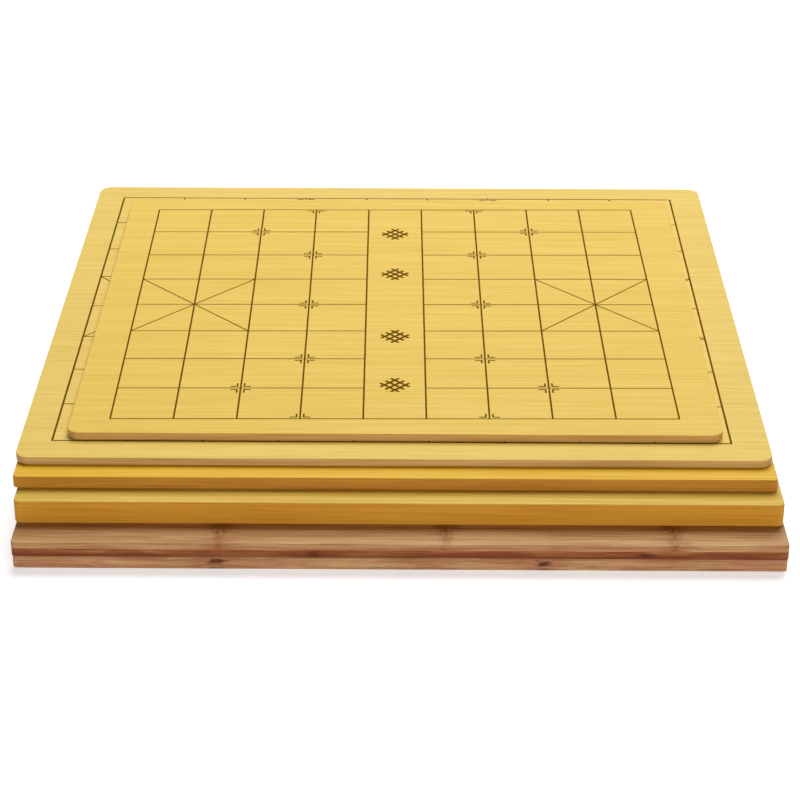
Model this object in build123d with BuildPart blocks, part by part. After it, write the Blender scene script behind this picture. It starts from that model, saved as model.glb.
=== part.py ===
from build123d import *
import os

# A pile of five bamboo game boards. The lowest is a go board in two leaves that folds in half
# on brass end hinges. Four loose boards lie on it, each set further back than the one below.
#
# Millimetres. +X runs right along the long edges, +Y runs to the rear and +Z is up.
# The origin is under the middle of the whole pile, on the surface that the folding board lies on.

# Full-size boards: the folding one, and all loose ones but the small one
full_width = 470.0
full_depth = 440.0

# Folding go board, lying open
folding_corner = 3.0
leaf_face_thickness = 4.2
leaf_core_thickness = 5.3
leaf_back_thickness = 8.5
leaf_back_inset = 0.3
leaf_edge_round = 0.8
leaf_bottom_round = 0.4
leaf_gap = 0.3

# Thick loose board, second from below
thick_face_thickness = 3.0
thick_core_thickness = 9.0
thick_back_thickness = 3.0
thick_corner = 3.5
thick_edge_round = 0.8
thick_setback = 23.2
thick_shift = -0.8

# Plain loose board, third from below
plain_face_thickness = 2.0
plain_core_thickness = 4.0
plain_back_thickness = 2.0
plain_corner = 2.5
plain_edge_round = 0.8
plain_setback = 16.9
plain_shift = -3.2

# Thin loose board, fourth from below
thin_face_thickness = 1.5
thin_core_thickness = 2.0
thin_back_thickness = 1.5
thin_corner = 9.0
thin_edge_round = 0.5
thin_setback = 15.1
thin_shift = -4.2

# Small loose board, on top
small_width = 412.0
small_depth = 380.0
small_face_thickness = 1.5
small_core_thickness = 2.0
small_back_thickness = 1.5
small_corner = 8.0
small_edge_round = 0.5
small_setback = 23.3
small_shift = -3.7

# End hinges of the folding board
strap_length = 30.0
strap_inset = 0.2
strap_corner = 1.0
ear_radius = 4.0
ear_thickness = 1.0
ear_board_clearance = 0.3
ear_gap = 0.2
ear_clearance = 0.6
fold_gap = 0.3

# Hinge pins
pin_radius = 1.5
pin_clearance = 0.05
pin_head_radius = 2.5
pin_head_height = 0.8
pin_head_gap = 0.1
pin_head_round = 0.4

# Countersunk wood screws that hold the hinge straps
screw_radius = 0.8
screw_head_radius = 1.5
screw_length = 12.0
screw_tip_length = 2.0
screw_tip_radius = 0.2
screw_clearance = 0.05
screw_slot_width = 0.5
screw_slot_depth = 0.4
screw_tip_gap = 0.5
screw_margin = 6.0
screw_count = 2

# Heights of the pile, from the bottom up
folding_top = leaf_back_thickness + leaf_core_thickness + leaf_face_thickness
thick_top = folding_top + thick_back_thickness + thick_core_thickness + thick_face_thickness
plain_top = thick_top + plain_back_thickness + plain_core_thickness + plain_face_thickness
thin_top = plain_top + thin_back_thickness + thin_core_thickness + thin_face_thickness

# Front edges, measured back from the folding board's own front edge
thick_front = thick_setback
plain_front = thick_front + plain_setback
thin_front = plain_front + thin_setback
small_front = thin_front + small_setback

# The pile's rearmost edge sets where its middle, and so the origin, lies
pile_depth = max(
    full_depth,
    thick_front + full_depth,
    plain_front + full_depth,
    thin_front + full_depth,
    small_front + small_depth,
)
front_y = -pile_depth / 2

# The hinge axis lies over the seam, half the folded gap above the playing face
fold_y = front_y + full_depth / 2
fold_z = folding_top + fold_gap / 2
end_x = full_width / 2

# A strap lies within the face ply's end, and its ear stands off far enough to clear the thick board
strap_z = folding_top - leaf_face_thickness / 2
strap_height = leaf_face_thickness - 2 * strap_inset
ear_standoff = abs(thick_shift) + ear_board_clearance
front_ear_inner = end_x + ear_standoff
front_strap_outer = front_ear_inner + ear_thickness
rear_strap_inner = front_strap_outer + ear_gap
rear_strap_outer = rear_strap_inner + ear_thickness
pin_head_inner = rear_strap_outer + pin_head_gap

# Screws, spread between the ear's edge and the strap's far end
pad_start = ear_radius + ear_clearance
pad_end = leaf_gap / 2 + strap_length
screw_first = pad_start + screw_margin
screw_pitch = (pad_end - screw_margin - screw_first) / (screw_count - 1)
screw_head_height = screw_head_radius - screw_radius
sides = (("left", -1), ("right", 1))


def export(built: BuildPart, name: str) -> None:
    """Label a finished piece and write its file."""
    built.part.label = name
    export_step(built.part, f"parts/{name}.step")


def make_loose_board(name, width, depth, corner, edge_round, shift, front, bottom, plies):
    """Build one loose board as a glued back, core and face, named from the board's name.

    plies holds the thickness of the back, the core and the face, from below.
    """
    middle = (shift, front_y + front + depth / 2)
    level = bottom
    for layer, thickness in zip(("back", "core", "face"), plies):
        with BuildPart() as ply:
            with BuildSketch(Plane.XY.offset(level)):
                with Locations(middle):
                    RectangleRounded(width, depth, corner)
            extrude(amount=thickness)
            if layer == "face":
                fillet(ply.faces().sort_by(Axis.Z)[-1].edges(), edge_round)
            if layer == "back":
                fillet(ply.faces().sort_by(Axis.Z)[0].edges(), edge_round)
        export(ply, f"{name}_{layer}")
        level += thickness


def end_plane(side, distance, y=0.0, z=0.0):
    """Give the plane that faces out of one end of the board, at a distance from the middle."""
    return Plane(origin=(side * distance, y, z), x_dir=(0, side, 0), z_dir=(side, 0, 0))


def screw_places(direction):
    """Give the Y of each screw of a strap that runs forward (-1) or back (1) from the fold."""
    return [fold_y + direction * (screw_first + screw_pitch * n) for n in range(screw_count)]


def make_leaf(name, direction, strap_outer):
    """Build one leaf of the folding board, in front of (-1) or behind (1) the fold."""
    leaf_depth = (full_depth - leaf_gap) / 2
    leaf_y = fold_y + direction * (leaf_gap + leaf_depth) / 2
    layers = (
        ("back", leaf_back_thickness, leaf_back_inset),
        ("core", leaf_core_thickness, 0.0),
        ("face", leaf_face_thickness, 0.0),
    )
    level = 0.0
    for layer, thickness, inset in layers:
        with BuildPart() as ply:
            with BuildSketch(Plane.XY.offset(level)):
                with Locations((0, fold_y)):
                    RectangleRounded(full_width - 2 * inset, full_depth - 2 * inset, folding_corner)
                with Locations((0, leaf_y)):
                    Rectangle(full_width, leaf_depth, mode=Mode.INTERSECT)
            extrude(amount=thickness)
            if layer == "face":
                fillet(ply.faces().sort_by(Axis.Z)[-1].edges(), leaf_edge_round)
                # Pilot holes for the strap screws, a little deeper than their tips
                for _, side in sides:
                    for y in screw_places(direction):
                        with BuildSketch(end_plane(side, end_x, y, strap_z)):
                            Circle(screw_radius + screw_clearance)
                        pilot_depth = screw_length - (strap_outer - end_x) + screw_tip_gap
                        extrude(amount=-pilot_depth, mode=Mode.SUBTRACT)
            if layer == "back":
                fillet(ply.faces().sort_by(Axis.Z)[0].edges(), leaf_bottom_round)
        export(ply, f"{name}_{layer}")
        level += thickness


def strap_profile(side, direction):
    """Sketch a strap with its ear: a rounded bar along the board's end and a disc on the axis."""
    start = leaf_gap / 2
    with Locations((side * (fold_y + direction * (start + strap_length / 2)), strap_z)):
        RectangleRounded(strap_length, strap_height, strap_corner)
    with Locations((side * fold_y, fold_z)):
        Circle(ear_radius)


def cut_screw_holes(side, direction, outer):
    """Cut the countersunk screw holes of one strap, from its outer face."""
    for y in screw_places(direction):
        with Locations(end_plane(side, outer, y, strap_z)):
            CounterSinkHole(
                screw_radius + screw_clearance,
                screw_head_radius + screw_clearance,
                depth=outer - end_x,
                counter_sink_angle=90,
            )


def make_screws(name, direction, outer):
    """Build the screws of the front (-1) or rear (1) straps, both ends, as one group."""
    with BuildPart() as screws:
        for _, side in sides:
            for y in screw_places(direction):
                flush = (Align.CENTER, Align.CENTER, Align.MAX)
                with Locations(end_plane(side, outer, y, strap_z)):
                    Cylinder(screw_radius, screw_length - screw_tip_length, align=flush)
                    Cone(screw_radius, screw_head_radius, screw_head_height, align=flush)
                with Locations(end_plane(side, outer - screw_length + screw_tip_length, y, strap_z)):
                    Cone(screw_tip_radius, screw_radius, screw_tip_length, align=flush)
                with Locations(end_plane(side, outer, y, strap_z)):
                    Box(
                        2 * screw_head_radius,
                        screw_slot_width,
                        screw_slot_depth,
                        align=flush,
                        mode=Mode.SUBTRACT,
                    )
    export(screws, name)


os.makedirs("parts", exist_ok=True)

# Loose boards, from the bottom of the pile up
make_loose_board(
    "thick_board", full_width, full_depth, thick_corner, thick_edge_round, thick_shift, thick_front,
    folding_top, (thick_back_thickness, thick_core_thickness, thick_face_thickness),
)
make_loose_board(
    "plain_board", full_width, full_depth, plain_corner, plain_edge_round, plain_shift, plain_front,
    thick_top, (plain_back_thickness, plain_core_thickness, plain_face_thickness),
)
make_loose_board(
    "thin_board", full_width, full_depth, thin_corner, thin_edge_round, thin_shift, thin_front,
    plain_top, (thin_back_thickness, thin_core_thickness, thin_face_thickness),
)
make_loose_board(
    "small_board", small_width, small_depth, small_corner, small_edge_round, small_shift, small_front,
    thin_top, (small_back_thickness, small_core_thickness, small_face_thickness),
)

# Leaves of the folding board
make_leaf("front_leaf", -1, front_strap_outer)
make_leaf("rear_leaf", 1, rear_strap_outer)

for side_name, side in sides:
    # Front strap: flat on the front leaf's end, with its ear held off it, clear of the thick board
    with BuildPart() as front_strap:
        with BuildSketch(end_plane(side, end_x)):
            strap_profile(side, -1)
        extrude(amount=front_strap_outer - end_x)
        with BuildSketch(end_plane(side, end_x, fold_y, fold_z)):
            Circle(ear_radius + ear_clearance)
        extrude(amount=ear_standoff, mode=Mode.SUBTRACT)
        with BuildSketch(end_plane(side, front_ear_inner, fold_y, fold_z)):
            Circle(pin_radius)
        extrude(amount=ear_thickness, mode=Mode.SUBTRACT)
        cut_screw_holes(side, -1, front_strap_outer)
    export(front_strap, f"front_hinge_strap_{side_name}")

    # Rear strap: stepped out by a pad, so that its ear turns outside the front strap's ear
    with BuildPart() as rear_strap:
        with BuildSketch(end_plane(side, rear_strap_inner)):
            strap_profile(side, 1)
        extrude(amount=ear_thickness)
        with BuildSketch(end_plane(side, end_x)):
            with Locations((side * (fold_y + (pad_start + pad_end) / 2), strap_z)):
                RectangleRounded(pad_end - pad_start, strap_height, strap_corner)
        extrude(amount=rear_strap_inner - end_x)
        with BuildSketch(end_plane(side, rear_strap_inner, fold_y, fold_z)):
            Circle(pin_radius + pin_clearance)
        extrude(amount=ear_thickness, mode=Mode.SUBTRACT)
        cut_screw_holes(side, 1, rear_strap_outer)
    export(rear_strap, f"rear_hinge_strap_{side_name}")

    # Pin: riveted in the front ear, running in the rear ear, with a head outside it
    with BuildPart() as pin:
        with BuildSketch(end_plane(side, front_ear_inner, fold_y, fold_z)):
            Circle(pin_radius)
        extrude(amount=pin_head_inner - front_ear_inner)
        with BuildSketch(end_plane(side, pin_head_inner, fold_y, fold_z)):
            Circle(pin_head_radius)
        extrude(amount=pin_head_height)
        outermost = pin.faces().sort_by(Axis((0, 0, 0), (side, 0, 0)))[-1]
        fillet(outermost.edges(), pin_head_round)
    export(pin, f"hinge_pin_{side_name}")

make_screws("front_strap_screws", -1, front_strap_outer)
make_screws("rear_strap_screws", 1, rear_strap_outer)
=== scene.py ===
"""Looks of a pile of bamboo game boards, the lowest of which folds in half on brass end hinges.

Metres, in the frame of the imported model: +X right along the long edges, +Y to the rear, +Z up.
"""
import logging
import math
from collections.abc import Sequence
from dataclasses import dataclass, field, replace
from enum import Enum

import bmesh
import bpy
from mathutils import Matrix, Vector


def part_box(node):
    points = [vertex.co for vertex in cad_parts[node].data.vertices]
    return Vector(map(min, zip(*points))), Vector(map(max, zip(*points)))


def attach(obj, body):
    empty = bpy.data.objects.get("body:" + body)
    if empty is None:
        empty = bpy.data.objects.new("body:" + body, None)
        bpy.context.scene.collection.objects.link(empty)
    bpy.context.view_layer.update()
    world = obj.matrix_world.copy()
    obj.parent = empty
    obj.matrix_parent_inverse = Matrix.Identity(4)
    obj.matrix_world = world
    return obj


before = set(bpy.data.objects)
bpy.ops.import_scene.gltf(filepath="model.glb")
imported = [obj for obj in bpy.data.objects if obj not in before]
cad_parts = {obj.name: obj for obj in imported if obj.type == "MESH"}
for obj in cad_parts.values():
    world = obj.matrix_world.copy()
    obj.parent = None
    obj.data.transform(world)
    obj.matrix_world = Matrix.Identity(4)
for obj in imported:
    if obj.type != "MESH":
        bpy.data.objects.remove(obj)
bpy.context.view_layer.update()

Socket = bpy.types.NodeSocket
Colour = tuple[float, float, float]
Band = tuple[float, float]  # where a change starts and where it ends
log = logging.getLogger("boards")


def paint(red: int, green: int, blue: int) -> Colour:
    """Turn a display colour of 0 to 255 a channel into the linear colour that shaders use.

    Args:
        red: Display value of the red channel.
        green: Display value of the green channel.
        blue: Display value of the blue channel.

    Returns:
        The linear colour.
    """
    knee, slope, offset, power = 0.04045, 12.92, 0.055, 2.4
    shares = (channel / 255 for channel in (red, green, blue))
    return tuple(s / slope if s <= knee else ((s + offset) / (1 + offset)) ** power for s in shares)


def place_in_scene(name: str, data: bpy.types.ID) -> bpy.types.Object:
    """Make an object and put it in the scene.

    Args:
        name: Its name.
        data: Its mesh, camera or lamp.

    Returns:
        The object.
    """
    made = bpy.data.objects.new(name, data)
    bpy.context.scene.collection.objects.link(made)
    return made


def place_mesh(name: str, mesh: bmesh.types.BMesh, material: bpy.types.Material) -> bpy.types.Object:
    """Make an object of a finished mesh, and free the mesh.

    Args:
        name: Its name.
        mesh: The mesh.
        material: Its only material.

    Returns:
        The object.
    """
    data = bpy.data.meshes.new(name)
    mesh.to_mesh(data)
    mesh.free()
    data.materials.append(material)
    return place_in_scene(name, data)


class Side(Enum):
    """The face of a board that a print lies on."""

    TOP = "top"
    UNDERSIDE = "underside"


class Texture(Enum):
    """How much fine detail a noise pattern has: its octaves, and how much each next one counts."""

    SMOOTH = (2.0, 0.5)
    SOFT = (2.0, 0.6)
    CRISP = (3.0, 0.6)


class Graph:
    """Builds the shader nodes of one material or world, in the order that they are asked for."""

    def __init__(self, owner: bpy.types.Material | bpy.types.World) -> None:
        """Start an empty node tree.

        Args:
            owner: The material or world that the nodes belong to.
        """
        owner.use_nodes = True
        self.owner = owner
        self.tree = owner.node_tree
        self.tree.nodes.clear()

    def add(self, kind: str, **settings: object) -> bpy.types.Node:
        """Add a node.

        Args:
            kind: Node type, such as ShaderNodeMath.
            settings: Values for the node's own properties.

        Returns:
            The new node.
        """
        node = self.tree.nodes.new(kind)
        for key, value in settings.items():
            setattr(node, key, value)
        return node

    def feed(self, socket: Socket, value: object) -> None:
        """Link another node's output into a socket, or set the socket to a plain value.

        Args:
            socket: The input to feed.
            value: An output of another node, a number, a vector or a colour.
        """
        if isinstance(value, Socket):
            self.tree.links.new(value, socket)
        elif socket.type == "RGBA" and len(value) == 3:
            socket.default_value = (*value, 1.0)
        else:
            socket.default_value = value

    def fill(self, node: bpy.types.Node, values: Sequence[object]) -> Socket:
        """Feed a node's first inputs, in their order.

        Args:
            node: The node.
            values: One value for each input.

        Returns:
            The node's first output.
        """
        for socket, value in zip(node.inputs, values):
            self.feed(socket, value)
        return node.outputs[0]

    def plug(self, node: bpy.types.Node, inputs: dict[str, object]) -> bpy.types.Node:
        """Feed a node's inputs by their names.

        Args:
            node: The node.
            inputs: Value for each named input.

        Returns:
            The same node.
        """
        for name, value in inputs.items():
            self.feed(node.inputs[name], value)
        return node

    def math(self, operation: str, *values: object) -> Socket:
        """Combine numbers with one operation of the Math node."""
        return self.fill(self.add("ShaderNodeMath", operation=operation), values)

    def vector(self, operation: str, *values: object) -> Socket:
        """Combine vectors with one operation of the Vector Math node."""
        return self.fill(self.add("ShaderNodeVectorMath", operation=operation), values)

    def length(self, vector: object) -> Socket:
        """Give a vector's length."""
        return self.vector("LENGTH", vector).node.outputs["Value"]

    def join(self, x: object, y: object, z: object) -> Socket:
        """Make a vector of three numbers."""
        return self.fill(self.add("ShaderNodeCombineXYZ"), (x, y, z))

    def split(self, vector: object) -> list[Socket]:
        """Take a vector apart into its three numbers."""
        return list(self.plug(self.add("ShaderNodeSeparateXYZ"), {"Vector": vector}).outputs)

    def scaled(self, place: Sequence[object], sizes: Sequence[float]) -> Socket:
        """Divide a place by a size along each axis, so that one unit of noise on it is that large."""
        return self.join(*(self.math("DIVIDE", part, size) for part, size in zip(place, sizes)))

    def swing(self, value: object, reach: float) -> Socket:
        """Turn a value of 0 to 1 into one of -reach to reach."""
        return self.math("MULTIPLY", self.math("SUBTRACT", value, 0.5), 2 * reach)

    def noise(self, place: object, texture: Texture) -> Socket:
        """Sample noise whose features are about one unit of the place across.

        Args:
            place: Where to sample it.
            texture: How much fine detail it has.

        Returns:
            The noise, 0 to 1.
        """
        detail, roughness = texture.value
        inputs = {"Vector": place, "Scale": 1.0, "Detail": detail, "Roughness": roughness}
        return self.plug(self.add("ShaderNodeTexNoise"), inputs).outputs["Fac"]

    def dice(self, number: object) -> Socket:
        """Give a steady random value from 0 to 1 for each whole number."""
        node = self.add("ShaderNodeTexWhiteNoise", noise_dimensions="1D")
        return self.plug(node, {"W": number}).outputs["Value"]

    def ramp(self, value: object, band: Sequence[object], low: float = 0.0, high: float = 1.0) -> Socket:
        """Ease from one number to another while a value goes through a band.

        Args:
            value: The value.
            band: Where the change starts and ends.
            low: The number before the start.
            high: The number after the end.

        Returns:
            The eased number.
        """
        node = self.add("ShaderNodeMapRange", interpolation_type="SMOOTHSTEP")
        return self.fill(node, (value, *band, low, high))

    def mix(self, share: object, first: object, second: object) -> Socket:
        """Mix two colours.

        Args:
            share: Share of the second colour, 0 to 1.
            first: First colour.
            second: Second colour.

        Returns:
            The mixed colour.
        """
        node = self.add("ShaderNodeMix", data_type="RGBA")
        colours = [socket for socket in node.inputs if socket.type == "RGBA"]
        for socket, value in zip((node.inputs[0], *colours), (share, first, second)):
            self.feed(socket, value)
        return next(socket for socket in node.outputs if socket.type == "RGBA")

    def bump(self, height: object, strength: float, depth: float) -> Socket:
        """Tilt the normal by a height pattern.

        Args:
            height: The pattern, 0 to 1.
            strength: How much of the tilt shows.
            depth: Depth of the pattern.

        Returns:
            The tilted normal.
        """
        inputs = {"Strength": strength, "Distance": depth, "Height": height}
        return self.plug(self.add("ShaderNodeBump"), inputs).outputs[0]

    def seen(self) -> Socket:
        """Tell what the eye sees, also in a reflection or through glass, from what only lights the pile.

        Returns:
            1 for the rays that are seen and 0 for the rest.
        """
        path = self.add("ShaderNodeLightPath")
        direct = self.math("MAXIMUM", path.outputs["Is Camera Ray"], path.outputs["Is Glossy Ray"])
        return self.math("MAXIMUM", direct, path.outputs["Is Transmission Ray"])

    def show(self, kind: str, shader: Socket) -> None:
        """Link a finished shader to a new output node of the given kind."""
        self.plug(self.add(kind), {"Surface": shader})

    def surface(self, inputs: dict[str, object]) -> bpy.types.Material:
        """Finish the material with a Principled shader.

        Args:
            inputs: Value for each named input of the shader.

        Returns:
            The finished material.
        """
        shader = self.plug(self.add("ShaderNodeBsdfPrincipled"), inputs)
        self.show("ShaderNodeOutputMaterial", shader.outputs[0])
        return self.owner


@dataclass(frozen=True)
class BambooFinish:
    """Varnished bamboo: strips glued side by side, with their fibres running along X.

    A length runs along the fibres and a height across them. A band is where a pattern sets in. A halo,
    blush or deep tone of strength 0 is left out, and so is an eye of length 0.
    """

    name: str
    light: Colour
    dark: Colour
    edge: Colour
    edge_dark: Colour
    seed: float = 0.0

    # Strips, with streaks, finer hairs and broad patches that sway along the fibres
    strip_width: float = 0.007
    strip_contrast: float = 0.06
    streak_length: float = 0.09
    streak_height: float = 0.0009
    streak_contrast: float = 0.9
    streak_band: Band = (0.36, 0.66)
    hairs_per_streak: float = 3.0
    hair_share: float = 0.35
    patch_length: float = 0.16
    patch_height: float = 0.018
    patch_contrast: float = 0.14
    patch_band: Band = (0.35, 0.7)
    wave_length: float = 0.05
    wave_height: float = 0.0125
    wave_depth: float = 0.0002

    # Knots, with a line across each face, an eye on each edge and darker wood on both sides
    knot_colour: Colour = paint(150, 96, 30)
    knot_pitch: float = 0.26
    knot_start: float = 0.0
    knot_step: float = 0.618
    knot_strength: float = 0.03
    knot_length: float = 0.0025
    knot_stray: float = 1.5
    # A knot line's fanning and darkening towards its strip's rear is painted shade of a board above
    knot_fan: float = 0.0
    knot_front: float = 1.0
    knot_front_band: Band = (0.2, 1.0)
    rag_slimness: float = 4.0
    fleck_size: float = 0.0013
    fleck_slimness: float = 0.5
    fleck_gap: float = 0.3
    fleck_band: Band = (0.38, 0.62)
    eye_length: float = 0.0
    eye_height: float = 0.003
    eye_tear: float = 1.3
    eye_band: Band = (0.1, 1.05)
    eye_core: float = 1.5
    eyed_face_share: float = 0.6
    halo_length: float = 0.012
    halo_strength: float = 0.0
    halo_band: Band = (0.3, 0.6)

    # Edges, with blushing patches and a darker tone that fades between two heights, and ends with fibre
    # bundles
    blush_colour: Colour = paint(196, 132, 100)
    blush_strength: float = 0.0
    blush_size: float = 0.7
    blush_band: Band = (0.45, 0.65)
    deep_tone_colour: Colour = paint(104, 48, 16)
    deep_tone_strength: float = 0.0
    deepest_level: float = 0.0
    clear_level: float = 0.001
    fibre_size: float = 0.0007
    bundle_dark: float = 0.95
    bundle_light: float = 0.4
    bundle_band: Band = (0.15, 0.6)
    face_band: Band = (0.45, 0.85)
    end_band: Band = (0.6, 0.9)

    # Varnish
    roughness: Band = (0.43, 0.56)
    polish_band: Band = (0.3, 0.7)
    gloss: float = 0.12
    coat: float = 0.03
    coat_roughness: float = 0.25
    bump_strength: float = 0.12
    bump_depth: float = 0.0002

    def material(self) -> bpy.types.Material:
        """Build the bamboo's material on Object coordinates.

        Returns:
            The finished material.
        """
        g = Graph(bpy.data.materials.new(self.name))
        coordinates = g.add("ShaderNodeTexCoord")
        point = g.vector("ADD", coordinates.outputs["Object"], (self.seed,) * 3)
        place = g.split(point)
        x, y, _ = place
        normal_x, _, normal_z = g.split(coordinates.outputs["Normal"])
        strip = g.math("FLOOR", g.math("DIVIDE", y, self.strip_width))
        shade = g.swing(g.dice(strip), self.strip_contrast)
        past_knot = self._past_knot(g, x, strip)
        grain, patches = self._grain(g, place)
        darkness = self._darkness(g, grain, patches, shade, past_knot)

        # Faces of the strips on top and below, sawn edges in front and behind, cut ends left and right
        flatness = g.ramp(g.math("ABSOLUTE", normal_z), self.face_band)
        endness = g.ramp(g.math("ABSOLUTE", normal_x), self.end_band)
        face = g.mix(darkness, self.light, self.dark)
        edge = self._edge(g, coordinates.outputs["Object"], place, darkness)
        end = g.mix(g.math("ADD", self._bundles(g, point), shade), self.edge, self.edge_dark)
        knots = self._knots(g, place, past_knot, flatness)
        colour = g.mix(knots, g.mix(flatness, edge, face), self.knot_colour)

        return g.surface({
            "Base Color": g.mix(endness, colour, end),
            "Roughness": g.ramp(grain, self.polish_band, *self.roughness),
            "Specular IOR Level": self.gloss,
            "Coat Weight": self.coat,
            "Coat Roughness": self.coat_roughness,
            "Normal": g.bump(grain, self.bump_strength, self.bump_depth),
        })

    def _noise(
        self, g: Graph, place: Sequence[object], length: float, height: float, texture: Texture
    ) -> Socket:
        """Sample noise that is length long along the fibres and height across them."""
        return g.noise(g.scaled(place, (length, height, height)), texture)

    def _past_knot(self, g: Graph, x: object, strip: object) -> Socket:
        """Work out how far along X a place lies past the nearest knot of its strip.

        Args:
            g: The material's nodes.
            x: Place along the fibres.
            strip: Number of the strip. The knots shift by a fixed share of their pitch at each strip.

        Returns:
            The distance, which is negative before the knot.
        """
        shift = g.math("ADD", g.math("MULTIPLY", strip, self.knot_step), self.knot_start)
        turns = g.math("FRACT", g.math("ADD", g.math("DIVIDE", x, self.knot_pitch), shift))
        return g.swing(turns, self.knot_pitch / 2)

    def _grain(self, g: Graph, place: Sequence[object]) -> tuple[Socket, Socket]:
        """Build the fine grain and the broad patches, both stretched along the fibres and swaying a little.

        Args:
            g: The material's nodes.
            place: Place along the fibres, across the strips and up.

        Returns:
            The grain and the patches, each 0 to 1.
        """
        x, y, z = place
        waves = self._noise(g, place, self.wave_length, self.wave_height, Texture.SMOOTH)
        sway = g.swing(waves, self.wave_depth)
        swayed = (x, g.math("ADD", y, sway), g.math("ADD", z, sway))
        hair_height = self.streak_height / self.hairs_per_streak
        streaks = self._noise(g, swayed, self.streak_length, self.streak_height, Texture.CRISP)
        hairs = self._noise(g, swayed, self.streak_length, hair_height, Texture.SOFT)
        patches = self._noise(g, swayed, self.patch_length, self.patch_height, Texture.SMOOTH)
        streaks = g.math("MULTIPLY", streaks, 1 - self.hair_share)
        hairs = g.math("MULTIPLY", hairs, self.hair_share)
        return g.math("ADD", streaks, hairs), patches

    def _darkness(self, g: Graph, grain: object, patches: object, shade: object, past_knot: object) -> Socket:
        """Add up what darkens a strip.

        Args:
            g: The material's nodes.
            grain: Its streaks and hairs.
            patches: Its broad patches.
            shade: How much darker it is than its neighbours.
            past_knot: Distance past its nearest knot.

        Returns:
            Share of the dark colour.
        """
        darkness = g.ramp(grain, self.streak_band, 0.0, self.streak_contrast)
        darkness = g.math("ADD", darkness, g.ramp(patches, self.patch_band, 0.0, self.patch_contrast))
        darkness = g.math("ADD", darkness, shade)
        if self.halo_strength:
            distance = g.math("ABSOLUTE", past_knot)
            halo = g.ramp(distance, (0.0, self.halo_length), self.halo_strength, 0.0)
            halo = g.math("MULTIPLY", halo, g.ramp(patches, self.halo_band))
            darkness = g.math("ADD", darkness, halo)
        darkness.node.use_clamp = True
        return darkness

    def _edge(self, g: Graph, point: object, place: Sequence[object], darkness: object) -> Socket:
        """Build the colour of the sawn edges, some of which blush or grow darker towards a given height.

        Args:
            g: The material's nodes.
            point: Place on the board itself.
            place: The same place with the seed added, taken apart.
            darkness: Share of the dark colour.

        Returns:
            The colour.
        """
        colour = g.mix(darkness, self.edge, self.edge_dark)
        if self.blush_strength:
            x, y, z = place
            length, height = self.patch_length * self.blush_size, self.patch_height * self.blush_size
            patches = self._noise(g, (x, z, y), length, height, Texture.SOFT)
            blush = g.ramp(patches, self.blush_band, 0.0, self.blush_strength)
            colour = g.mix(blush, colour, self.blush_colour)
        if self.deep_tone_strength:
            # Darker towards one height, fading out by another
            _, _, level = g.split(point)
            deep_tone = g.ramp(level, (self.deepest_level, self.clear_level), self.deep_tone_strength, 0.0)
            colour = g.mix(deep_tone, colour, self.deep_tone_colour)
        return colour

    def _bundles(self, g: Graph, point: object) -> Socket:
        """Build the dots of the fibre bundles on a cut end.

        Args:
            g: The material's nodes.
            point: Place on the board.

        Returns:
            Share of the dark colour.
        """
        inputs = {"Vector": point, "Scale": 1 / self.fibre_size}
        dots = g.plug(g.add("ShaderNodeTexVoronoi", feature="F1"), inputs)
        return g.ramp(dots.outputs["Distance"], self.bundle_band, self.bundle_dark, self.bundle_light)

    def _knots(self, g: Graph, place: Sequence[object], past_knot: object, flatness: object) -> Socket:
        """Build the knots, where a strip crosses a joint of the cane.

        Args:
            g: The material's nodes.
            place: Place along the fibres, across the strips and up.
            past_knot: Distance past the nearest knot.
            flatness: 1 on the faces and 0 on the edges.

        Returns:
            Share of the knot colour.
        """
        _, y, z = place
        rag = self._noise(g, place, self.knot_length * self.rag_slimness, self.knot_length, Texture.CRISP)
        flecks = self._noise(g, place, self.fleck_size, self.fleck_size / self.fleck_slimness, Texture.SOFT)

        # A thin ragged knot line across a strip's face, fanning out and darkening to its rear as painted
        # shade
        inside = g.math("FRACT", g.math("DIVIDE", y, self.strip_width))
        spread = g.math("ADD", g.math("MULTIPLY", inside, self.knot_fan), 1.0)
        width = g.math("MULTIPLY", spread, self.knot_length)
        stray = g.swing(rag, self.knot_length * self.knot_stray)
        distance = g.math("ABSOLUTE", g.math("ADD", past_knot, stray))
        line = g.ramp(distance, (0.0, width), 1.0, 0.0)
        line = g.math("MULTIPLY", line, g.ramp(flecks, self.fleck_band, self.fleck_gap, 1.0))
        knot = g.math("MULTIPLY", line, g.ramp(inside, self.knot_front_band, self.knot_front, 1.0))
        if self.eye_length:
            eye = g.math("MULTIPLY", self._eye(g, z, past_knot, rag), g.math("SUBTRACT", 1.0, flatness))
            face_share = g.math("MULTIPLY", flatness, self.eyed_face_share)
            knot = g.math("ADD", eye, g.math("MULTIPLY", knot, face_share))
        return g.math("MULTIPLY", knot, self.knot_strength)

    def _eye(self, g: Graph, z: object, past_knot: object, rag: object) -> Socket:
        """Build a torn lens-shaped scar, long and low, as a knot leaves on an edge.

        Args:
            g: The material's nodes.
            z: Height.
            past_knot: Distance past the nearest knot.
            rag: Noise that tears the outline.

        Returns:
            How dark the scar is, 0 to 1.
        """
        along = g.math("DIVIDE", past_knot, self.eye_length / 2)
        across = g.swing(g.math("FRACT", g.math("DIVIDE", z, self.eye_height * 2)), 1.0)
        reach = g.length(g.join(along, across, 0.0))
        torn = g.math("ADD", reach, g.swing(rag, self.eye_tear))
        return g.math("POWER", g.ramp(torn, self.eye_band, 1.0, 0.0), self.eye_core)


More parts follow.
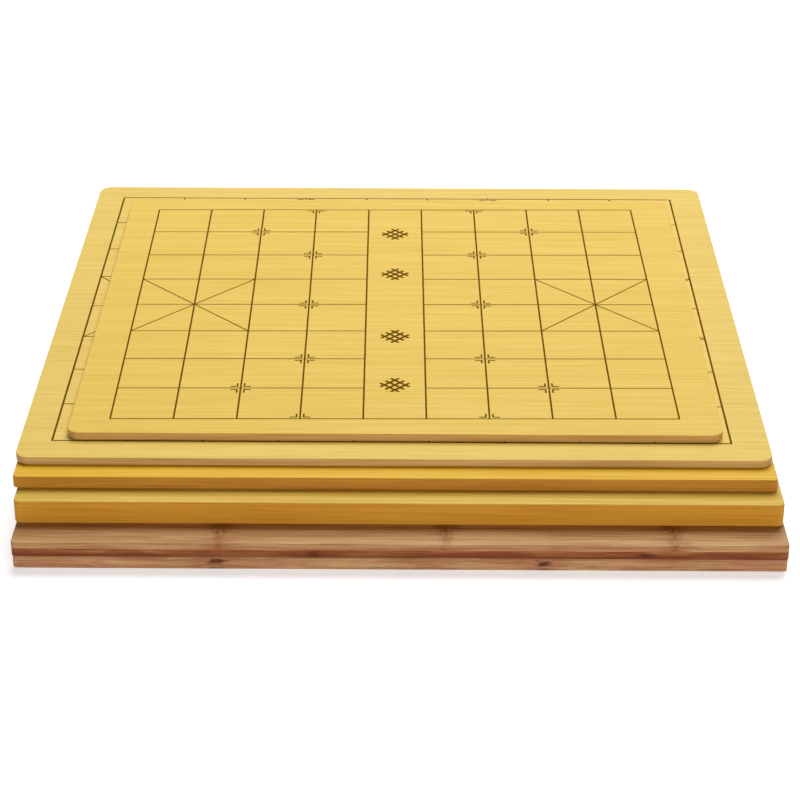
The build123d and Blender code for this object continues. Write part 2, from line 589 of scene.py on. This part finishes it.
@dataclass(frozen=True)
class InkFinish:
    """Dark ink that is silk-screened on the bamboo, a little uneven."""

    name: str = "board_ink"
    colour: Colour = paint(109, 79, 1)
    worn: Colour = paint(128, 94, 2)
    speck_size: float = 0.0015
    worn_band: Band = (0.45, 0.75)
    roughness: Band = (0.5, 0.66)
    polish_band: Band = (0.3, 0.7)
    gloss: float = 0.004

    def material(self) -> bpy.types.Material:
        """Build the ink's material.

        Returns:
            The finished material.
        """
        g = Graph(bpy.data.materials.new(self.name))
        point = g.add("ShaderNodeTexCoord").outputs["Object"]
        specks = g.noise(g.vector("MULTIPLY", point, (1 / self.speck_size,) * 3), Texture.CRISP)
        return g.surface({
            "Base Color": g.mix(g.ramp(specks, self.worn_band), self.colour, self.worn),
            "Roughness": g.ramp(specks, self.polish_band, *self.roughness),
            "Specular IOR Level": self.gloss,
        })


@dataclass(frozen=True)
class MetalFinish:
    """Bare metal with fine brush marks along Y and a little tarnish."""

    name: str
    colour: Colour
    tarnish: Colour
    roughness: Band
    mark_length: float = 0.006
    mark_height: float = 0.00012
    stains_per_metre: float = 260.0
    stain_band: Band = (0.45, 0.8)
    polish_band: Band = (0.3, 0.7)
    bump_strength: float = 0.15
    bump_depth: float = 0.00002

    def material(self) -> bpy.types.Material:
        """Build the metal's material on Object coordinates.

        Returns:
            The finished material.
        """
        g = Graph(bpy.data.materials.new(self.name))
        point = g.add("ShaderNodeTexCoord").outputs["Object"]
        sizes = (self.mark_height, self.mark_length, self.mark_height)
        marks = g.noise(g.scaled(g.split(point), sizes), Texture.CRISP)
        stains = g.noise(g.vector("MULTIPLY", point, (self.stains_per_metre,) * 3), Texture.CRISP)
        return g.surface({
            "Base Color": g.mix(g.ramp(stains, self.stain_band), self.colour, self.tarnish),
            "Metallic": 1.0,
            "Roughness": g.ramp(marks, self.polish_band, *self.roughness),
            "Normal": g.bump(marks, self.bump_strength, self.bump_depth),
        })


PALE = BambooFinish(
    name="pale_varnished_bamboo",
    light=paint(248, 212, 96),
    dark=paint(234, 191, 64),
    edge=paint(218, 176, 104),
    edge_dark=paint(190, 142, 76),
)
CREAM = BambooFinish(
    name="cream_varnished_bamboo",
    light=paint(248, 215, 111),
    dark=paint(231, 194, 82),
    edge=paint(220, 180, 116),
    edge_dark=paint(192, 148, 88),
    seed=0.63,
)
GOLDEN = BambooFinish(
    name="golden_varnished_bamboo",
    light=paint(246, 200, 52),
    dark=paint(228, 174, 26),
    edge=paint(206, 147, 54),
    edge_dark=paint(180, 119, 36),
    seed=1.7,
    streak_height=0.0013,
)
OCHRE = BambooFinish(
    name="ochre_varnished_bamboo",
    light=paint(238, 202, 94),
    dark=paint(214, 170, 58),
    edge=paint(220, 158, 50),
    edge_dark=paint(200, 134, 34),
    seed=3.1,
    streak_height=0.0015,
)
CARAMEL = BambooFinish(
    name="caramel_carbonised_bamboo",
    light=paint(218, 178, 122),
    dark=paint(184, 130, 80),
    edge=paint(210, 160, 110),
    edge_dark=paint(172, 116, 72),
    seed=5.3116,
    strip_width=0.024,
    strip_contrast=0.1,
    streak_height=0.0014,
    patch_length=0.07,
    patch_height=0.006,
    patch_contrast=0.5,
    wave_depth=0.0016,
    knot_colour=paint(128, 66, 14),
    knot_pitch=0.1375,
    knot_start=0.269,
    knot_strength=0.82,
    knot_length=0.0036,
    # The knots fan out and darken towards the tread's rear: painted shade of the thick board above
    knot_fan=2.6,
    knot_front=0.68,
    fleck_size=0.0021,
    halo_length=0.016,
    halo_strength=0.5,
)
DARK = BambooFinish(
    name="dark_carbonised_bamboo",
    light=paint(178, 122, 80),
    dark=paint(142, 86, 48),
    edge=paint(192, 128, 82),
    edge_dark=paint(142, 76, 36),
    seed=7.9,
    strip_width=0.02,
    strip_contrast=0.1,
    patch_length=0.05,
    patch_height=0.0035,
    patch_contrast=0.8,
    wave_depth=0.0022,
    knot_colour=paint(70, 26, 4),
    knot_pitch=0.2,
    knot_start=0.179,
    knot_strength=0.75,
    eye_length=0.013,
    halo_length=0.035,
    halo_strength=0.6,
    blush_colour=paint(150, 70, 40),
    blush_strength=0.45,
    deep_tone_strength=0.62,
    deepest_level=0.0085,
    clear_level=0.0138,
)
TAN = BambooFinish(
    name="tan_carbonised_bamboo",
    light=paint(218, 176, 126),
    dark=paint(180, 124, 78),
    edge=paint(227, 187, 128),
    edge_dark=paint(182, 124, 80),
    seed=9.4,
    strip_width=0.02,
    strip_contrast=0.1,
    patch_length=0.05,
    patch_height=0.004,
    patch_contrast=0.6,
    wave_depth=0.0022,
    knot_colour=paint(82, 34, 6),
    knot_pitch=0.198,
    knot_start=0.16,
    knot_strength=0.88,
    eye_length=0.016,
    halo_length=0.03,
    halo_strength=0.6,
    blush_colour=paint(214, 146, 114),
    blush_strength=0.6,
    deep_tone_strength=0.3,
    deepest_level=0.0085,
    clear_level=0.0045,
)
INK = InkFinish()
BRASS = MetalFinish(
    name="brushed_brass",
    colour=paint(206, 164, 84),
    tarnish=paint(148, 106, 48),
    roughness=(0.26, 0.46),
)
SCREW_BRASS = MetalFinish(
    name="turned_brass",
    colour=paint(214, 176, 98),
    tarnish=paint(164, 122, 60),
    roughness=(0.18, 0.38),
    mark_length=0.0004,
)
STEEL = MetalFinish(
    name="polished_steel",
    colour=paint(205, 205, 208),
    tarnish=paint(160, 158, 156),
    roughness=(0.14, 0.34),
    mark_length=0.0004,
)


class Finishes:
    """The materials of the whole pile, each built once."""

    def __init__(self) -> None:
        """Build no material yet."""
        self.built: dict[str, bpy.types.Material] = {}

    def of(self, finish: BambooFinish | InkFinish | MetalFinish) -> bpy.types.Material:
        """Give a finish's material, and build it the first time.

        Args:
            finish: The finish that is wanted.

        Returns:
            Its material.
        """
        if finish.name not in self.built:
            self.built[finish.name] = finish.material()
        return self.built[finish.name]

    def dress(self, node: str, finish: BambooFinish | MetalFinish) -> None:
        """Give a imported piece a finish.

        Args:
            node: Name of the piece.
            finish: Its finish.
        """
        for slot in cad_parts[node].material_slots:
            slot.material = self.of(finish)
        log.info("%s: %s", node, finish.name)


@dataclass
class Print:
    """Ink strokes on one face of a board, drawn on its own flat axes u and v.

    u runs across the lines that are numbered, v along them. A turned print has u along the board's Y.
    Where strokes cross, one is on a higher layer, a step prouder, so that they don't share a face.
    """

    body: str
    side: Side
    centre: tuple[float, float]
    level: float
    turn: float = 0.0
    sunk: float = 0.00004
    proud: float = 0.00005
    step: float = 0.000008
    dot_segments: int = 24
    cut_tolerance: float = 1e-7
    mesh: bmesh.types.BMesh = field(default_factory=bmesh.new)

    def place(self) -> Matrix:
        """Work out where the print lies.

        Returns:
            The matrix from the print's own axes to the board's face.
        """
        flip = Matrix.Identity(4) if self.side is Side.TOP else Matrix.Rotation(math.pi, 4, "Y")
        where = Matrix.Translation((*self.centre, self.level))
        return where @ Matrix.Rotation(self.turn, 4, "Z") @ flip

    def bed(self, middle: Vector, layer: int) -> tuple[float, Matrix]:
        """Work out how thick the ink is on a layer, and where its middle lies.

        Args:
            middle: Middle of the ink, in u and v.
            layer: The layer, from 0.

        Returns:
            The thickness and the matrix to the middle.
        """
        height = self.sunk + self.proud + layer * self.step
        where = Matrix.Translation((middle.x, middle.y, height / 2 - self.sunk))
        return height, self.place() @ where

    def stroke(self, start: Vector, end: Vector, width: float, layer: int = 0) -> None:
        """Draw a straight stroke.

        Args:
            start: Middle of the stroke's one end, in u and v.
            end: Middle of its other end.
            width: Width of the stroke.
            layer: The layer that it is on.
        """
        along = end - start
        height, where = self.bed((start + end) / 2, layer)
        turn = Matrix.Rotation(math.atan2(along.y, along.x), 4, "Z")
        shape = Matrix.Diagonal((along.length, width, height, 1.0))
        bmesh.ops.create_cube(self.mesh, size=1.0, matrix=where @ turn @ shape)

    def dot(self, centre: Vector, radius: float, layer: int) -> None:
        """Draw a round dot.

        Args:
            centre: Its middle, in u and v.
            radius: Its radius.
            layer: The layer that it is on.
        """
        height, where = self.bed(centre, layer)
        bmesh.ops.create_cone(
            self.mesh, cap_ends=True, cap_tris=False, segments=self.dot_segments,
            radius1=radius, radius2=radius, depth=height, matrix=where,
        )

    def keep(self, edge_y: float, direction: int) -> None:
        """Cut the print off along a line across the board, and close the cut.

        Args:
            edge_y: Y of the cut.
            direction: Keep what lies in front of it (-1) or behind it (1).
        """
        everything = [*self.mesh.verts, *self.mesh.edges, *self.mesh.faces]
        cut = bmesh.ops.bisect_plane(
            self.mesh, geom=everything, dist=self.cut_tolerance, plane_co=(0, edge_y, 0),
            plane_no=(0, direction, 0), clear_inner=True,
        )
        edges = [item for item in cut["geom_cut"] if isinstance(item, bmesh.types.BMEdge)]
        bmesh.ops.holes_fill(self.mesh, edges=[edge for edge in edges if edge.is_boundary])

    def finish(self, finishes: Finishes) -> None:
        """Make the print a piece that rides with its board.

        Args:
            finishes: The materials.
        """
        bmesh.ops.recalc_face_normals(self.mesh, faces=self.mesh.faces)
        piece = place_mesh(f"{self.body}_{self.side.value}_print", self.mesh, finishes.of(INK))
        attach(piece, self.body)
        log.info("%s: %d faces", piece.name, len(piece.data.polygons))


@dataclass(frozen=True)
class ChessGrid:
    """A Chinese chess grid: ten ranks across u, nine files across v, and an open river in the middle."""

    rank_pitch: float
    file_pitch: float
    ranks: int = 10
    files: int = 9
    rank_width: float = 0.00116
    file_width: float = 0.00088
    outer_rank_width: float = 0.00112
    outer_file_width: float = 0.00096
    palace_depth: int = 2
    palace_half: int = 1
    cannon_rank: int = 2
    cannon_file: int = 1
    soldier_rank: int = 3
    soldier_pitch: int = 2
    mark_gap: float = 0.0023
    mark_arm: float = 0.0044
    mark_width: float = 0.0011
    ornament_places: tuple[float, ...] = (-2.9, -1.2, 1.2, 2.9)
    ornament_half: float = 0.0098
    ornament_spread: float = 0.35
    ornament_reach: float = 0.62
    ornament_width: float = 0.0018

    def spot(self, rank: float, line: float) -> Vector:
        """Work out the place of a crossing.

        Args:
            rank: Its rank, from 0.
            line: Its file, from 0.

        Returns:
            Its place in u and v.
        """
        u = (rank - (self.ranks - 1) / 2) * self.rank_pitch
        v = (line - (self.files - 1) / 2) * self.file_pitch
        return Vector((u, v))

    def draw(self, ink: Print) -> None:
        """Draw the whole grid.

        Args:
            ink: The print to draw it on.
        """
        last_rank, last_file = self.ranks - 1, self.files - 1
        middle = last_file // 2
        self.lines(ink)
        for start in (0, last_rank - self.palace_depth):
            self.palace(ink, start, middle)
        for rank in (self.cannon_rank, last_rank - self.cannon_rank):
            for line in (self.cannon_file, last_file - self.cannon_file):
                self.mark(ink, rank, line)
        for rank in (self.soldier_rank, last_rank - self.soldier_rank):
            for line in range(0, self.files, self.soldier_pitch):
                self.mark(ink, rank, line)
        for place in self.ornament_places:
            self.ornament(ink, self.spot(last_rank / 2, middle + place))

    def lines(self, ink: Print) -> None:
        """Draw the ranks, and the files with the river left open between its two banks.

        Args:
            ink: The print.
        """
        last_rank, last_file = self.ranks - 1, self.files - 1
        near_bank, far_bank = last_rank // 2, last_rank // 2 + 1
        over = Vector((0, self.outer_file_width / 2))
        for rank in range(self.ranks):
            width = self.outer_rank_width if rank in (0, last_rank) else self.rank_width
            ink.stroke(self.spot(rank, 0) - over, self.spot(rank, last_file) + over, width, layer=1)
        for line in range(self.files):
            if line in (0, last_file):
                ink.stroke(self.spot(0, line), self.spot(last_rank, line), self.outer_file_width)
            else:
                ink.stroke(self.spot(0, line), self.spot(near_bank, line), self.file_width)
                ink.stroke(self.spot(far_bank, line), self.spot(last_rank, line), self.file_width)

    def palace(self, ink: Print, start: int, middle: int) -> None:
        """Draw the two diagonals of a palace.

        Args:
            ink: The print.
            start: The palace's first rank.
            middle: Its middle file.
        """
        end = start + self.palace_depth
        low, high = middle - self.palace_half, middle + self.palace_half
        ink.stroke(self.spot(start, low), self.spot(end, high), self.file_width, layer=2)
        ink.stroke(self.spot(start, high), self.spot(end, low), self.file_width, layer=3)

    def mark(self, ink: Print, rank: int, line: int) -> None:
        """Draw the small angles round the crossing where a piece starts.

        Args:
            ink: The print.
            rank: Rank of the crossing.
            line: File of the crossing.
        """
        for towards_v in (-1, 1):
            if not 0 <= line + towards_v < self.files:
                continue
            for towards_u in (-1, 1):
                corner = self.spot(rank, line) + Vector((towards_u, towards_v)) * self.mark_gap
                along_u = Vector((towards_u * self.mark_arm, 0))
                along_v = Vector((0, towards_v * self.mark_arm))
                overlap = Vector((towards_u, 0)) * self.mark_width / 2
                ink.stroke(corner - overlap, corner + along_u, self.mark_width, layer=1)
                ink.stroke(corner, corner + along_v, self.mark_width, layer=2)

    def ornament(self, ink: Print, centre: Vector) -> None:
        """Draw a knot ornament, a lattice of three slanting bands each way, in the river.

        Args:
            ink: The print.
            centre: Middle of the ornament.
        """
        pitch = self.ornament_half * self.ornament_spread
        reach = self.ornament_half * self.ornament_reach
        for rung in (-1, 0, 1):
            for slant, layer in ((-1, 1), (1, 3)):
                middle = centre + Vector((rung, -slant * rung)) * pitch
                along = Vector((1, slant)) * reach
                ink.stroke(middle - along, middle + along, self.ornament_width, layer)


@dataclass(frozen=True)
class GoGrid:
    """A go grid of nineteen lines each way, with nine star points.

    A grid with an open middle lacks the line along a board's fold.
    """

    pitch_x: float
    pitch_y: float
    lines: int = 19
    line_width: float = 0.0006
    border_width: float = 0.001
    star_lines: tuple[int, ...] = (3, 9, 15)
    star_radius: float = 0.0019
    open_middle: bool = False

    def draw(self, ink: Print) -> None:
        """Draw the whole grid.

        Args:
            ink: The print to draw it on.
        """
        middle = (self.lines - 1) / 2
        reach = Vector((middle * self.pitch_x, middle * self.pitch_y))
        over = Vector((0, self.border_width / 2))
        for line in range(self.lines):
            width = self.border_width if line in (0, self.lines - 1) else self.line_width
            across = (line - middle) * self.pitch_y
            along = (line - middle) * self.pitch_x
            if not (self.open_middle and across == 0):
                ink.stroke(Vector((-reach.x, across)), Vector((reach.x, across)), width)
            ink.stroke(Vector((along, -reach.y)) - over, Vector((along, reach.y)) + over, width, layer=1)
        for column in self.star_lines:
            for row in self.star_lines:
                star = Vector(((column - middle) * self.pitch_x, (row - middle) * self.pitch_y))
                ink.dot(star, self.star_radius, layer=2)


@dataclass
class LooseBoard:
    """One loose board of three glued layers, printed on both faces."""

    name: str
    finish: BambooFinish
    top: ChessGrid | GoGrid
    underside: ChessGrid | GoGrid
    skew: float = 0.0
    grid_shift: tuple[float, float] = (0.0, 0.0)

    def build(self, finishes: Finishes) -> None:
        """Dress the layers and print both faces.

        Args:
            finishes: The materials.
        """
        for layer in ("back", "core", "face"):
            finishes.dress(f"{self.name}_{layer}", self.finish)
        lowest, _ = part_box(f"{self.name}_back")
        low_face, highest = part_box(f"{self.name}_face")
        centre = (low_face + highest) / 2
        shifted = (centre.x + self.grid_shift[0], centre.y + self.grid_shift[1])
        above = Print(self.name, Side.TOP, shifted, highest.z, self.skew)
        below = Print(self.name, Side.UNDERSIDE, (centre.x, centre.y), lowest.z)
        for sheet, grid in ((above, self.top), (below, self.underside)):
            grid.draw(sheet)
            sheet.finish(finishes)


@dataclass
class FoldingBoard:
    """The folding board: two leaves of three glued layers each, on a pair of end hinges.

    Its prints stop short of the seam between the leaves. The one below is of thinner ink, which stays off
    the floor.
    """

    top: GoGrid
    underside: ChessGrid
    layers: tuple[tuple[str, BambooFinish], ...] = (("back", TAN), ("core", DARK), ("face", CARAMEL))
    seam_clearance: float = 0.00095
    thin_proud: float = 0.00003
    thin_step: float = 0.000005

    def build(self, finishes: Finishes) -> None:
        """Dress the leaves, print them and dress the hinges.

        Args:
            finishes: The materials.
        """
        for leaf in ("front_leaf", "rear_leaf"):
            for layer, finish in self.layers:
                finishes.dress(f"{leaf}_{layer}", finish)
        self.print_leaves(finishes)
        for side in ("left", "right"):
            finishes.dress(f"front_hinge_strap_{side}", BRASS)
            finishes.dress(f"rear_hinge_strap_{side}", BRASS)
            finishes.dress(f"hinge_pin_{side}", STEEL)
        finishes.dress("front_strap_screws", SCREW_BRASS)
        finishes.dress("rear_strap_screws", SCREW_BRASS)

    def print_leaves(self, finishes: Finishes) -> None:
        """Print both faces of both leaves, each with its half of the grid.

        Args:
            finishes: The materials.
        """
        lowest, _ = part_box("front_leaf_back")
        _, front_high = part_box("front_leaf_face")
        rear_low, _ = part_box("rear_leaf_face")
        seam = (front_high.y + rear_low.y) / 2
        for leaf, direction in (("front_leaf", -1), ("rear_leaf", 1)):
            above = Print(leaf, Side.TOP, (0.0, seam), front_high.z)
            below = Print(
                leaf, Side.UNDERSIDE, (0.0, seam), lowest.z,
                turn=math.pi / 2, proud=self.thin_proud, step=self.thin_step,
            )
            for sheet, grid in ((above, self.top), (below, self.underside)):
                grid.draw(sheet)
                sheet.keep(seam + direction * self.seam_clearance, direction)
                sheet.finish(finishes)


@dataclass(frozen=True)
class Camera:
    """The photographer's camera, in front of the pile and above it. Angles are in radians."""

    place: tuple[float, float, float] = (0.0076, -1.4176, 0.7285)
    turned_left: float = 0.0065
    pitched_down: float = 0.4821
    rolled: float = 0.0018
    focal_pixels: float = 2269.4
    frame_pixels: float = 800.0
    sensor: float = 36.0
    nearest: float = 0.05
    farthest: float = 60.0

    def build(self) -> None:
        """Make the camera and use it."""
        data = bpy.data.cameras.new("camera")
        data.sensor_width = self.sensor
        data.lens = self.sensor * self.focal_pixels / self.frame_pixels
        data.clip_start = self.nearest
        data.clip_end = self.farthest
        camera = place_in_scene("camera", data)
        turn = Matrix.Rotation(self.turned_left, 4, "Z")
        pitch = Matrix.Rotation(math.pi / 2 - self.pitched_down, 4, "X")
        roll = Matrix.Rotation(self.rolled, 4, "Z")
        camera.matrix_world = Matrix.Translation(self.place) @ turn @ pitch @ roll
        bpy.context.scene.camera = camera


@dataclass(frozen=True)
class Lamp:
    """One soft square lamp, aimed at a point."""

    name: str
    place: tuple[float, float, float]
    target: tuple[float, float, float]
    size: float
    watts: float

    def build(self) -> None:
        """Make the lamp."""
        data = bpy.data.lights.new(self.name, "AREA")
        data.shape = "SQUARE"
        data.size = self.size
        data.energy = self.watts
        lamp = place_in_scene(self.name, data)
        aim = Vector(self.target) - Vector(self.place)
        turn = aim.to_track_quat("-Z", "Y").to_matrix().to_4x4()
        lamp.matrix_world = Matrix.Translation(self.place) @ turn


@dataclass(frozen=True)
class Studio:
    """A white sweep of floor, a white surround and soft lamps.

    The floor and the surround read as white where they are seen, and light the pile only softly. The
    floor's own glow grows to full white in a band of distances from its middle, past the pile's shadow.
    """

    floor_half: float = 8.0
    floor_gap: float = 0.00006
    floor_colour: Colour = (0.86, 0.86, 0.86)
    near_glow: float = 0.6
    far_glow: float = 1.0
    glow_band: Band = (0.9, 2.6)
    surround_colour: Colour = (1.0, 1.0, 1.0)
    surround_light: float = 0.04
    surround_seen: float = 1.0
    lamps: tuple[Lamp, ...] = (
        Lamp("key_lamp", place=(0.7, 3.1, 4.35), target=(0.0, 0.0, 0.0), size=3.9, watts=337.0),
        Lamp("front_lamp", place=(0.2, -2.4, 0.17), target=(0.0, -0.1, 0.0), size=0.34, watts=22.5),
    )

    def build(self) -> None:
        """Make the floor, the surround and the lamps."""
        mesh = bmesh.new()
        bmesh.ops.create_grid(mesh, x_segments=1, y_segments=1, size=self.floor_half)
        bmesh.ops.translate(mesh, verts=mesh.verts, vec=(0, 0, -self.floor_gap))
        floor = place_mesh("floor", mesh, self._floor_material())
        self._surround()
        for lamp in self.lamps:
            lamp.build()

    def _floor_material(self) -> bpy.types.Material:
        """Build a matt floor that keeps shadows and glows only where it is seen.

        Returns:
            The finished material.
        """
        g = Graph(bpy.data.materials.new("studio_floor"))
        matt = g.plug(g.add("ShaderNodeBsdfDiffuse"), {"Color": self.floor_colour})
        distance = g.length(g.add("ShaderNodeTexCoord").outputs["Object"])
        glow = g.ramp(distance, self.glow_band, self.near_glow, self.far_glow)
        lit = g.plug(g.add("ShaderNodeEmission"), {"Strength": g.math("MULTIPLY", g.seen(), glow)})
        both = g.fill(g.add("ShaderNodeAddShader"), (matt.outputs[0], lit.outputs[0]))
        g.show("ShaderNodeOutputMaterial", both)
        return g.owner

    def _surround(self) -> None:
        """Build the white world, which lights the pile softly from all round."""
        world = bpy.data.worlds.new("studio")
        bpy.context.scene.world = world
        g = Graph(world)
        strength = g.ramp(g.seen(), (0.0, 1.0), self.surround_light, self.surround_seen)
        inputs = {"Strength": strength, "Color": self.surround_colour}
        background = g.plug(g.add("ShaderNodeBackground"), inputs)
        g.show("ShaderNodeOutputWorld", background.outputs[0])


FULL_GO = GoGrid(pitch_x=0.0234, pitch_y=0.0217)
FULL_CHESS = ChessGrid(
    rank_pitch=0.04729, file_pitch=0.04948, outer_rank_width=0.00131, outer_file_width=0.00114,
)
FOLDING_BOARD = FoldingBoard(
    top=replace(FULL_GO, open_middle=True),
    underside=ChessGrid(rank_pitch=0.0435, file_pitch=0.052),
)
LOOSE_BOARDS = (
    LooseBoard("thick_board", OCHRE, top=FULL_GO, underside=FULL_CHESS),
    LooseBoard("plain_board", GOLDEN, top=FULL_GO, underside=FULL_CHESS),
    LooseBoard("thin_board", CREAM, top=FULL_CHESS, underside=FULL_GO, grid_shift=(-0.0016, 0.0)),
    LooseBoard(
        "small_board",
        PALE,
        top=ChessGrid(rank_pitch=0.0401, file_pitch=0.0425),
        underside=GoGrid(pitch_x=0.0205, pitch_y=0.0189),
        skew=0.0087,
        grid_shift=(-0.0017, 0.0004),
    ),
)


def main() -> None:
    """Build the studio, and the boards and their prints from the bottom up."""
    logging.basicConfig(level=logging.INFO, format="%(message)s")
    bpy.context.scene.view_settings.view_transform = "Standard"
    Camera().build()
    Studio().build()
    finishes = Finishes()
    for board in (FOLDING_BOARD, *LOOSE_BOARDS):
        board.build(finishes)


if __name__ == "__main__":
    main()
